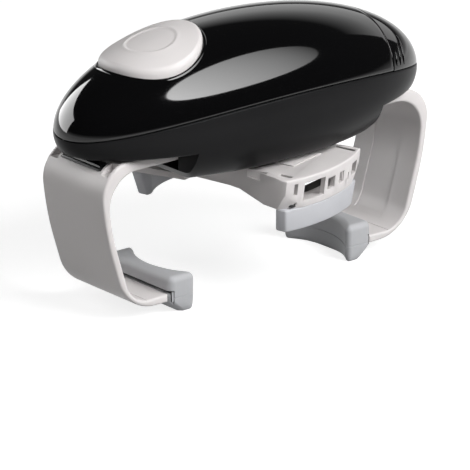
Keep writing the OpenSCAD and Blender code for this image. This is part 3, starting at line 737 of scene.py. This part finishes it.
class OPENER_OT_lower_shell(bpy.types.Operator):
    """Models the lower shell: the belly, its flat keel and the slots of the arms"""

    bl_idname = "opener.lower_shell"
    bl_label = "Lower shell"

    def execute(self, context):
        sizes = context.scene.opener_sizes
        rings = [self.ring(sizes, x) for x in self.stations(sizes)]
        shell = loft("lower_shell_body", rings)
        # Slots of the arms, the hub's hole and the holes of four screws
        half = sizes.arm_half + 0.4 * MM
        slot_low, slot_high = sizes.keel + 4.2 * MM, sizes.tail + 0.05 * MM
        for side in (-1, 1):
            ends = sorted((side * 45 * MM, side * 77 * MM))
            combine(shell, box((ends[0], -half, slot_low), (ends[1], half, slot_high)), "DIFFERENCE")
        combine(shell, rod(12.15 * MM, (0, 0, sizes.keel - 1 * MM), sizes.keel + 6 * MM), "DIFFERENCE")
        for x in (-66, 66):
            for y in (-28, 28):
                spot = (x * MM, y * MM, sizes.tail - 2 * MM)
                combine(shell, rod(2.5 * MM, spot, sizes.tail + 2 * MM, 32), "DIFFERENCE")
        finish_piece(shell, "satin_black", "housing", ["lower_shell"])
        return {"FINISHED"}

    def stations(self, sizes):
        """Places of the sections, crowded at the tips and at the keel's ends."""
        spread = [sizes.half_length * math.sin(t) for t in np.linspace(-math.pi / 2, math.pi / 2, 121)]
        steps = (-2.4, -1.2, -0.6, -0.2, 0.2, 0.6, 1.2, 1.8, 1.92, 2.4, 3.2, 3.8, 4.08, 4.2, 4.32, 4.6, 5)
        edges = [side * (sizes.keel_half + step * MM) for side in (-1, 1) for step in steps]
        kept = [x for x in spread if min(abs(x - e) for e in edges) > 0.5 * MM]
        return sorted(kept + edges)

    def floor(self, sizes, x):
        """Height of the flat underside this far from the middle: keel, leaning end, steep wall and tail."""
        past = x - sizes.keel_half
        if past <= 0:
            return sizes.keel
        if past < sizes.keel_lean:
            return sizes.keel + past
        step = sizes.tail - sizes.keel - sizes.keel_lean
        return sizes.tail - max(0.0, 1 - (past - sizes.keel_lean) / (0.12 * MM)) * step

    def belly(self, sizes, x, angle, inset):
        """Reach of the belly from the waist's middle at an angle below it."""
        c, s = math.cos(angle), math.sin(angle)
        room = max(1e-9, 1 - (x / (sizes.half_length - inset)) ** 2)
        across, down = c / (sizes.half_width - inset), s / (sizes.belly_depth - inset)
        reach = math.sqrt(room / (across**2 + down**2))
        drop = sizes.waist - self.floor(sizes, abs(x) + inset) - inset
        if abs(s) > 1e-6:
            reach = soft_least(reach, drop / abs(s), 28)
        return reach

    def half_path(self, sizes, x, drop, inset):
        """From the seam down to the middle of the underside."""
        top = dome_roll(sizes, x, max(sizes.waist, seam(sizes, x) - drop), inset)
        path = [dome_point(sizes, x, top * (1 - t), inset)[1:] for t in np.linspace(0, 1, 14)]
        for angle in np.linspace(0, math.pi / 2, 90)[1:]:
            reach = self.belly(sizes, x, angle, inset)
            path.append((reach * math.cos(angle), sizes.waist - reach * math.sin(angle)))
        return along(path, 58)

    def ring(self, sizes, x):
        """Closed section of the shell's wall."""
        lip, gap, wall = 0.45 * MM, 0.3 * MM, sizes.shell_wall
        # Near the tips the inner skin draws back by the wall
        draw = 90 * MM
        inner_x = x - math.copysign(wall * max(0.0, (abs(x) - draw) / (sizes.half_length - draw)), x)
        outer = self.half_path(sizes, x, gap + lip, 0)
        inner = self.half_path(sizes, inner_x, gap, wall)
        rim = []
        for rise, inset in ROUND_STEPS[1:]:
            z = max(sizes.waist, seam(sizes, x) - gap - lip * rise)
            rim.append(dome_point(sizes, x, dome_roll(sizes, x, z, lip * inset), lip * inset)[1:])
        section = [(x, y, z) for y, z in outer]
        section += [(x, -y, z) for y, z in outer[-2::-1]]
        section += [(x, -y, z) for y, z in rim]
        section += [(inner_x, -y, z) for y, z in inner]
        section += [(inner_x, y, z) for y, z in inner[-2::-1]]
        section += [(x, y, z) for y, z in rim[::-1]]
        return section


class OPENER_OT_button(bpy.types.Operator):
    """Models the push button with a shallow finger rest"""

    bl_idname = "opener.button"
    bl_label = "Push button"

    def execute(self, context):
        sizes = context.scene.opener_sizes
        radius, edge, wall, skirt = sizes.button_radius, 2 * MM, 2 * MM, 4.2 * MM
        radii = (0.8, 2.5, 5, 7.5, 9.5, 10.6, 11.3, 11.8, 12.3, 12.8, 13.4, 14.5, 16.5, 19, 21, 22.3)
        levels = [(r * MM, self.dish(r)) for r in radii]
        levels += [(radius - edge * back, edge * inset) for inset, back in reversed(ROUND_STEPS)]
        levels += [(radius, skirt), (radius - wall, skirt), (radius - wall, 2.4 * MM)]
        rings = []
        for out, drop in levels:
            rings.append(button_ring(sizes, out, 128, lambda x, y: self.crown(sizes, x, y) - drop))
        button = loft("push_button", rings)
        finish_piece(button, "pale_plastic", "push_button", ["button"], 40)
        return {"FINISHED"}

    def crown(self, sizes, x, y):
        """Height of the button's top before its finger rest."""
        return dome_height_at(sizes, x, y, sizes.button_proud)

    def dish(self, r):
        """Depth of the finger rest, with its fine raised border."""
        if r < 11.8:
            return (0.55 - 0.2 * (r / 11.8) ** 2) * MM
        border = {11.8: 0.1, 12.3: -0.22, 12.8: -0.26, 13.4: -0.12}
        return border.get(r, 0.0) * MM


class OPENER_OT_arms(bpy.types.Operator):
    """Models the two arms: a wide rounded band with ribs on its shelf"""

    bl_idname = "opener.arms"
    bl_label = "Arms"

    def execute(self, context):
        sizes = context.scene.opener_sizes
        finish_pair(self.arm(sizes), "arm_band", "pale_plastic", ["arm"])
        # The black sheet in each shoulder's recess is painted shade for the dark gap under the body
        finish_pair(self.strip(sizes), "shoulder_strip", "inner_black", [])
        return {"FINISHED"}

    def strip(self, sizes):
        """Black sheet in the shoulder's recess, painted shade for the dark gap under the body."""
        half = sizes.arm_half / MM - 8.5
        corners = [(82, -half, 1.5), (96.6, -half, 1.5), (96.6, half, 1.5), (82, half, 1.5)]
        path = filled_in(rounded(corners, 5), 3) * MM
        section = ((75.5, 0), (76.5, 0), (76.8, 0.3), (76.8, 1.5), (77.6, 1.8), (77.6, 3.0), (76.8, 3.3))
        rings = [[(x, y, z * MM) for x, y in inset_ring(path, inset * MM)] for z, inset in section]
        return loft("right_shoulder_strip", rings)

    def outline(self, sizes):
        """Side outline of the band as (x, z, radius) corners in millimetres, right-hand arm."""
        wall, shelf = sizes.arm_wall / MM, 74.9
        # Root, shelf, shoulder, elbow, heel and toe of the outer side
        outer = [(50, 78.3, 0), (80, 80.1, 30), (103.2, 80.1, 16)]
        outer += [(99.3, 46.05, 140), (87.5, TOE, 23), (63.5, TOE, 0)]
        spots = [np.array(corner[:2], float) for corner in outer]

        def moved(i):
            """The corner moved inward by the wall."""
            a, p, b = spots[i - 1], spots[i], spots[i + 1]
            u, v = (p - a) / np.linalg.norm(p - a), (b - p) / np.linalg.norm(b - p)
            m, n = np.array([-u[1], u[0]]), np.array([-v[1], v[0]])
            return p - wall * (m + n) / (1 + m @ n)

        upper, elbow, foot = moved(2), moved(3), moved(4)
        shoulder = upper + (elbow - upper) * (shelf - upper[1]) / (elbow[1] - upper[1])
        inner = [(63.5, TOE + wall, 0), (*foot, 14), (*elbow, 80), (*shoulder, 16), (50, shelf, 0)]
        return outer + inner

    def arm(self, sizes):
        """Right-hand arm: the bent band with its recess, notches and rack."""
        path = filled_in(rounded(self.outline(sizes), 14), 4.0)[::-1] * MM
        half, edge = sizes.arm_half, 1.15 * MM
        inner = self.inner_face(path)
        rings = []
        for y, inset, panel in self.levels(half, edge):
            amount = np.full(len(path), inset) + np.where(inner, -panel, 0.0)
            rings.append([(x, y, z) for x, z in inset_ring(path, amount)])
        arm = loft("right_arm_band", rings)
        wide, rib = half / MM, sizes.rib_wall / MM
        across, above = wide - rib - 5, 95
        recess = block((40, -across, 77.3), (101, across, above))
        bevel(recess, 0.8 * MM, 3)
        combine(arm, recess, "DIFFERENCE")
        # Notches of the shoulder, with the deeper bed of the black shade sheet between them
        for side in (-1, 1):
            ends = sorted((side * (wide - rib - 3.6), side * (wide - 1.8)))
            cut_away(arm, (90.5, ends[0], 74.6), (106, ends[1], above))
        cut_away(arm, (88, -across, 75.6), (104, across, above))
        # Fine mould lines across the outer face and across the foot
        cut_away(arm, (100.7, -wide - 1, 58), (106, wide + 1, 58.25))
        cut_away(arm, (76, -wide - 1, 10.05), (76.3, wide + 1, 11))
        # Room for the other arm's rack, the tongue in the grip and the arm's own rack
        cut_away(arm, (49, -14.3, 73), (79, -6.8, 84))
        combine(arm, block((58.5, -18.5, TOE), (64, 18.5, 10.2)), "UNION")
        combine(arm, block((-9, 9.15, 75.3), (88.5, 14, 79.7)), "UNION")
        return arm

    def inner_face(self, path):
        """Which outline points lie on the band's inner face, away from its ends."""
        x, z = path[:, 0] / MM, path[:, 1] / MM
        middle_x = np.interp(z, [10, 46, 70], [85, 95.5, 99.5])
        return (z > 13) & (z < 68) & (x < middle_x)

    def levels(self, half, edge):
        """Widths of the sections, with rounded rims and a faintly recessed inner panel."""
        angles = np.radians([0, 25, 50, 72, 90])
        rim = [(-half + edge * (1 - math.cos(a)), edge * (1 - math.sin(a)), 0.0) for a in angles]
        panel = 0.45 * MM
        middle = [(-9.9 * MM, 0, 0), (-9.6 * MM, 0, -panel), (9.6 * MM, 0, -panel), (9.9 * MM, 0, 0)]
        far = [(-y, inset, 0.0) for y, inset, _ in reversed(rim)]
        return rim + middle + far


class OPENER_OT_grips(bpy.types.Operator):
    """Models the two rubber jar grips with their hollow faces, parting line and clip groove"""

    bl_idname = "opener.grips"
    bl_label = "Rubber grips"

    def execute(self, context):
        sizes = context.scene.opener_sizes
        finish_pair(self.boot(sizes), "jar_grip", "grip_rubber", ["grip"], 50)
        # Thin black sheet in the channel round the arm's foot: painted shade for the dark gap between boot
        # and foot
        channel_shade = block((61.9, -23.8, 6.3), (62.3, 23.8, 11.7))
        cut_away(channel_shade, (61, -23.3, 1), (64, 23.3, 10.5))
        channel_shade.name = "right_grip_gasket"
        bevel(channel_shade, 0.1 * MM, 2, 40)
        finish_pair(channel_shade, "grip_gasket", "inner_black", [])
        return {"FINISHED"}

    def plan(self, sizes, inset):
        """Outline from above, moved inward: a block with a hollow face and round corners."""
        half, tip = sizes.grip_half / MM, sizes.grip_tip / MM
        back, hollow = sizes.grip_back / MM - inset, sizes.grip_hollow / MM
        radius = (hollow**2 + half**2) / (2 * hollow) + inset
        middle = tip + hollow - radius + inset
        half -= inset
        small, large = max(0.4, 2.3 - inset), max(0.8, 3.5 - inset)
        nose = middle + math.sqrt((radius + small) ** 2 - (half - small) ** 2)
        sweep = math.atan2(half - small, nose - middle)
        corners = (
            (nose, small - half, small, math.pi - sweep, 3 * math.pi / 2),
            (back - large, large - half, large, 3 * math.pi / 2, 2 * math.pi),
            (back - large, half - large, large, 0, math.pi / 2),
            (nose, half - small, small, math.pi / 2, math.pi + sweep),
        )
        path = []
        for x, y, size, start, stop in corners:
            turns = np.linspace(start, stop, 9)
            path += [(x + size * math.cos(a), y + size * math.sin(a)) for a in turns]
        face = np.linspace(sweep, -sweep, 43)[1:-1]
        path += [(middle + radius * math.cos(a), radius * math.sin(a)) for a in face]
        return np.array(path) * MM

    def undercut(self, sizes, x, y, z):
        """How far the back of the boot runs in below the foot plate, most at its ends."""
        behind = min(1.0, max(0.0, (x / MM - 55) / 6))
        return 1.15 * max(0.0, 6.2 - z) * (0.3 + 0.7 * (y / sizes.grip_half) ** 2) * behind * MM

    def boot(self, sizes):
        """Right-hand rubber boot with the channel for the arm's foot."""
        top, soft = sizes.grip_height / MM, 3.2
        # Foot, flank, parting groove and flank again, then the round top
        levels = [(0, 1.7), (0.2, 1.25), (0.7, 0.8), (1.5, 0.45), (3, 0.2), (5, 0.05), (6.2, 0), (7.75, 0)]
        levels += [(7.9, 0.3), (8.15, 0.3), (8.3, 0), (10, 0)]
        for a in np.radians(range(0, 91, 10)):
            levels.append((top - soft + soft * math.sin(a), soft * (1 - math.cos(a))))
        rings = []
        for z, inset in levels:
            outline = self.plan(sizes, inset)
            rings.append([(x - self.undercut(sizes, x, y, z), y, z * MM) for x, y in outline])
        boot = loft("right_jar_grip", rings)
        # Channel round the end of the arm's foot, and the thin lip in it
        channel = block((60.8, -30, 3), (64.5, 30, 11.8))
        cut_away(channel, (60, -23.2, -2), (65, 23.2, 10.4))
        combine(boot, channel, "DIFFERENCE")
        combine(boot, block((60.4, -23.8, 6.2), (61.9, 23.8, 11)), "UNION")
        return boot


def merged_copy(node, name):
    """A copy of the frame's own solid with its loose triangles merged."""
    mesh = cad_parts[node].data.copy()
    piece = bpy.data.objects.new(name, mesh)
    mesh.name = name
    bpy.context.scene.collection.objects.link(piece)
    with editing(piece):
        bpy.ops.mesh.remove_doubles(threshold=5e-6)
        bpy.ops.mesh.dissolve_limited(angle_limit=math.radians(0.6))
    return piece


# Notches of the front jaw's rim and face: corners along, across and above the jaw in millimetres
TRAY_NOTCHES = (
    ((40, -25.8, 60), (47, -23.4, 66)),
    ((22, -27.6, 60), (34, -25.4, 66)),
    ((37, 24.8, 60), (48.5, 27, 66)),
    ((48, 14.6, 53), (60, 15.6, 57)),
    ((48, -28.2, 48), (60, -24, 52.2)),
)
# Lower edges of its side skirts: place along the jaw, reach across it and thickness in millimetres
TRAY_SKIRTS = (
    (-1, ((17, 24.42, 2), (19, 24.88, 0.43), (22, 25.57, 1.1), (33.3, 28.18, 2.3))),
    (1, ((17, 25.4, 2), (19, 25.53, 1), (22, 26.02, 1.5), (33.3, 28.41, 2.3))),
)


class OPENER_OT_lid_jaws(bpy.types.Operator):
    """Models the two lid jaws and their rubber pads"""

    bl_idname = "opener.lid_jaws"
    bl_label = "Lid jaws"

    def execute(self, context):
        front = merged_copy("front_jaw", "front_jaw_tray")
        for low, high in TRAY_NOTCHES:
            combine(front, self.turned_block(low, high), "DIFFERENCE")
        for side, places in TRAY_SKIRTS:
            combine(front, self.skirt(side, places), "UNION")
        self.round_crown(front, 1.3 * MM)
        bevel(front, 0.3 * MM, 2, 40)
        finish_piece(front, "pale_plastic", "front_clamp", ["front_jaw"], 28)
        # The tray's black floor is painted shade for the dark inside seen through the jaw's windows
        self.shade_floor()
        self.hub_cover()
        rear = merged_copy("rear_jaw", "rear_jaw_plate")
        bevel(rear, 0.3 * MM, 2, 40)
        finish_piece(rear, "pale_plastic", "rear_clamp", ["rear_jaw"], 28)
        for side, shape in (("front", self.sweep_corner), ("rear", self.lean)):
            node = side + "_lid_pad"
            pad = merged_copy(node, side + "_lid_rubber")
            shape(pad)
            bevel(pad, 0.9 * MM, 3, 40)
            finish_piece(pad, "pad_rubber", side + "_clamp", [node], 40)
        return {"FINISHED"}

    def skirt(self, side, places):
        """Slanted lower edge of a side skirt, from the hub outward."""
        low, top, slope = 49, 53.4, 0.2175
        rings = []
        for place, out, thick in places:
            foot = low + (places[-1][0] - place) * slope
            inner, outer = side * (out - thick), side * (out - 0.02)
            section = [(outer, foot), (inner, foot), (inner, top), (outer, top)]
            rings.append([JAW_TURN @ Vector((place * MM, across * MM, z * MM)) for across, z in section])
        return loft("skirt_edge", rings)

    def shade_floor(self):
        """Black floor of the tray between the pad and the turntable, painted shade for the dark inside of
        the jaw's windows.
        """
        corners = [(36.6, -26.5, 2), (48.4, -26.5, 2), (48.4, 26.5, 2), (36.6, 26.5, 2)]
        path = filled_in(rounded(corners, 6), 4) * MM
        rings = []
        for z, inset in ((49.6, 0.2), (49.8, 0), (50.9, 0), (51.1, 0.2), (51.1, 1.0)):
            ring = inset_ring(path, inset * MM)
            rings.append([JAW_TURN @ Vector((x, y, z * MM)) for x, y in ring])
        shade_floor = loft("front_tray_floor", rings)
        finish_piece(shade_floor, "inner_black", "front_clamp", [], 40)

    def hub_cover(self):
        """Thin cover between the hub and the jaw."""
        near, far = 10.6, 38.8
        cover = self.turned_block((near, -11.5, 64.1), (far, 11.5, 64.7))
        cover.name = "hub_cover"
        bevel(cover, 0.2 * MM, 3, 40)
        paint(cover, "pale_plastic")
        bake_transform(cover)

    def turned_block(self, low, high):
        """A block between two corners in millimetres, along and across the jaws."""
        cutter = block(low, high)
        cutter.data.transform(JAW_TURN.to_4x4())
        return cutter

    def pick(self, piece, skin, wanted):
        """Selects the edges whose two ends both pass a test on place along, across and up."""
        back = JAW_TURN.transposed()
        bpy.ops.mesh.select_mode(type="EDGE")
        for edge in skin.edges:
            edge.select = all(wanted((back @ end.co) / MM) for end in edge.verts)
        skin.select_flush_mode()
        bmesh.update_edit_mesh(piece.data)

    def round_crown(self, piece, width):
        """Rounds the tray's upper front and side edges."""

        def wanted(spot):
            out = math.hypot(spot.x + 28.5, spot.y)
            return spot.z > JAW_TOP - 0.05 and (out > 82.5 or (abs(spot.y) > 30.9 and spot.x > 44))

        with editing(piece, "DESELECT") as skin:
            self.pick(piece, skin, wanted)
            bpy.ops.mesh.bevel(offset=width, segments=4, affect="EDGES", clamp_overlap=True)

    def lean(self, piece):
        """Draws the foot of the rear pad's outer face inward."""
        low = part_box("rear_lid_pad")[0].z / MM
        with editing(piece, "DESELECT") as skin:
            self.pick(piece, skin, lambda spot: spot.z < low + 0.05 and math.hypot(spot.x, spot.y) > 45.5)
            bpy.ops.transform.translate(value=JAW_TURN @ Vector((4.2 * MM, 0, 0)))

    def sweep_corner(self, piece):
        """Sweeps the far lower corner of the front pad back."""
        spot = JAW_TURN @ Vector((45 * MM, 30 * MM, 49 * MM))
        normal = JAW_TURN @ direction(50, -20)
        with editing(piece):
            bpy.ops.mesh.bisect(plane_co=spot, plane_no=normal, use_fill=True, clear_outer=True)


WORKS = {
    "steel": ["shell_screws", "plate_screws", "motor", "motor_screws", "gear_axles",
              "battery_contacts", "retaining_ring", "floor_screws"],
    "brass": ["plate_spacers", "motor_pinion"],
    "nylon": ["button_guide", "gear_deck", "motor_plate", "first_gear", "second_gear", "centre_gear",
              "differential_case", "arm_pinion", "turntable_bush", "jaw_pinion"],
    "inner_black": ["battery_tray", "turntable", "turntable_floor", "tact_switch", "switch_plunger"],
    "board": ["circuit_board"],
    "sleeve": ["battery_cells"],
}


class OPENER_OT_works(bpy.types.Operator):
    """Paints the drive, the power pack and the fixings that the frame carries"""

    bl_idname = "opener.works"
    bl_label = "Works inside"

    def execute(self, context):
        for finish, nodes in WORKS.items():
            for node in nodes:
                coat(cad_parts[node].data, finish)
        # The spring sits between the guide and the button
        spring = merged_copy("button_spring", "return_spring")
        coat(spring.data, "steel")
        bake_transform(spring)
        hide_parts("button_spring")
        return {"FINISHED"}


class OPENER_OT_stage(bpy.types.Operator):
    """Sets the pale floor, the soft lamps, the sky and the camera"""

    bl_idname = "opener.stage"
    bl_label = "Stage"

    def execute(self, context):
        self.floor()
        self.sky(context.scene)
        # Name, bearing and rise in degrees, distance, width and height, power and the rays that miss it
        self.lamp("front_softbox", (-76, 38), 1.4, (0.9, 0.8), 25, "glossy")
        self.lamp("side_softbox", (178, 44), 1.4, (0.9, 0.8), 4, "glossy")
        crown = self.lamp("crown_card", (-52, 53.2), 1.3, (1.26, 0.8), 33, "diffuse", roll=-10.4)
        crown.shape = "ELLIPSE"
        self.fade(crown, "X", 0.0, 0.05)
        self.lamp("tip_card", (116, 17), 0.9, (1.0, 0.5), 9.5, "diffuse")
        back = self.lamp("back_card", (36, 25), 1.6, (1.7, 0.8), 4.2, "diffuse")
        self.fade(back, "Y", 0.45, 0.0)
        self.camera(context.scene)
        context.scene.view_settings.view_transform = "Standard"
        return {"FINISHED"}

    def floor(self):
        """Pale floor that looks white by itself and throws back only part of the light."""
        bpy.ops.object.select_all(action="DESELECT")
        bpy.ops.mesh.primitive_plane_add(size=14)
        plane = bpy.context.object
        plane.name = "studio_floor"
        finish = Finish("studio_floor")
        shade = tuple(bpy.context.scene.opener_colours.floor)
        cloud = finish.noise(1.5, 2.0)
        kinds = ("Camera", "Glossy", "Transmission")
        rays = [finish.node("LightPath", output=f"Is {kind} Ray") for kind in kinds]
        seen = rays[0] + rays[1] + rays[2]
        own = finish.blend(cloud, darker(shade, 0.46), darker(shade, 0.45))
        plane.data.materials.append(
            finish.surface(
                Base_Color=finish.blend(seen, darker(shade, 0.3), own),
                Emission_Color=finish.blend(seen, (0.0, 0.0, 0.0), darker(shade, 0.86)),
                Emission_Strength=1.0,
                Roughness=0.9,
            )
        )

    def sky(self, scene):
        """Pale at the horizon and dim overhead, as in a studio."""
        world = bpy.data.worlds.new("studio_air")
        scene.world = world
        world.use_nodes = True
        air = Nodes(world.node_tree)
        place = air.node("TexCoord", output="Generated")
        height = air.node("SeparateXYZ", output="Z", Vector=place)
        shade = air.node("ValToRGB", {"stops": ((0.0, 0.9), (0.05, 0.4), (0.14, 0.03))}, Fac=height)
        air.node("OutputWorld", Surface=air.node("Background", Color=shade))

    def lamp(self, name, aim, distance, size, power, missing, roll=0):
        """A softbox or a reflected card that faces the body; one kind of ray misses it."""
        lamp = bpy.data.lights.new(name, "AREA")
        lamp.shape = "RECTANGLE"
        lamp.size, lamp.size_y = size
        lamp.energy = power
        holder = bpy.data.objects.new(name, lamp)
        bpy.context.scene.collection.objects.link(holder)
        away = direction(*aim)
        holder.location = Vector((0, 0, 90 * MM)) + away * distance
        turn = away.to_track_quat("Z", "Y") @ Quaternion((0, 0, 1), math.radians(roll))
        holder.rotation_euler = turn.to_euler()
        holder.visible_camera = False
        setattr(holder, "visible_" + missing, False)
        return lamp

    def fade(self, lamp, axis, start, share):
        """Dims a lamp along its own X or Y, from full at a start to a share at the far side."""
        lamp.use_nodes = True
        glow = Nodes(lamp.node_tree)
        place = glow.node("NewGeometry", output="Parametric")
        along_axis = glow.node("SeparateXYZ", output=axis, Vector=place)
        level = glow.node("MapRange", Value=along_axis, From_Min=start, To_Min=1.0, To_Max=share)
        glow.node("OutputLight", Surface=glow.node("Emission", Strength=level))

    def camera(self, scene):
        """Long lens at the front left, tipped a little further down than its own rise."""
        bearing, rise, tip = -130.3, 17.0, 2.507
        distance, aim = 1.703, 98 * MM
        lens = bpy.data.cameras.new("studio_camera")
        holder = bpy.data.objects.new("studio_camera", lens)
        scene.collection.objects.link(holder)
        scene.camera = holder
        holder.location = Vector((0, 0, aim)) + direction(bearing, rise) * distance
        holder.rotation_euler = direction(bearing, rise + tip).to_track_quat("Z", "Y").to_euler()
        lens.lens = 274.82553
        lens.sensor_width = 36
        lens.shift_x = -0.010893617
        lens.clip_start, lens.clip_end = 0.01, 50


PIECES = (
    OPENER_OT_cover,
    OPENER_OT_battery_door,
    OPENER_OT_lower_shell,
    OPENER_OT_button,
    OPENER_OT_arms,
    OPENER_OT_grips,
    OPENER_OT_lid_jaws,
    OPENER_OT_works,
    OPENER_OT_stage,
)


class OPENER_PT_sidebar(bpy.types.Panel):
    """Lists the pieces of the jar opener"""

    bl_idname = "OPENER_PT_sidebar"
    bl_label = "Jar Opener"
    bl_space_type = "VIEW_3D"
    bl_region_type = "UI"
    bl_category = "Jar Opener"

    def draw(self, context):
        for piece in PIECES:
            self.layout.operator(piece.bl_idname)
        for group in (context.scene.opener_sizes, context.scene.opener_colours):
            for name in group.__annotations__:
                self.layout.prop(group, name)


CLASSES = (OpenerSizes, OpenerColours, *PIECES, OPENER_PT_sidebar)


def register():
    for each in CLASSES:
        bpy.utils.register_class(each)
    bpy.types.Scene.opener_sizes = PointerProperty(type=OpenerSizes)
    bpy.types.Scene.opener_colours = PointerProperty(type=OpenerColours)


def unregister():
    del bpy.types.Scene.opener_colours
    del bpy.types.Scene.opener_sizes
    for each in reversed(CLASSES):
        bpy.utils.unregister_class(each)


def main():
    """Registers the add-on, models every piece and sets the stage."""
    register()
    for piece in PIECES:
        space, name = piece.bl_idname.split(".")
        getattr(getattr(bpy.ops, space), name)()


if __name__ == "__main__":
    main()
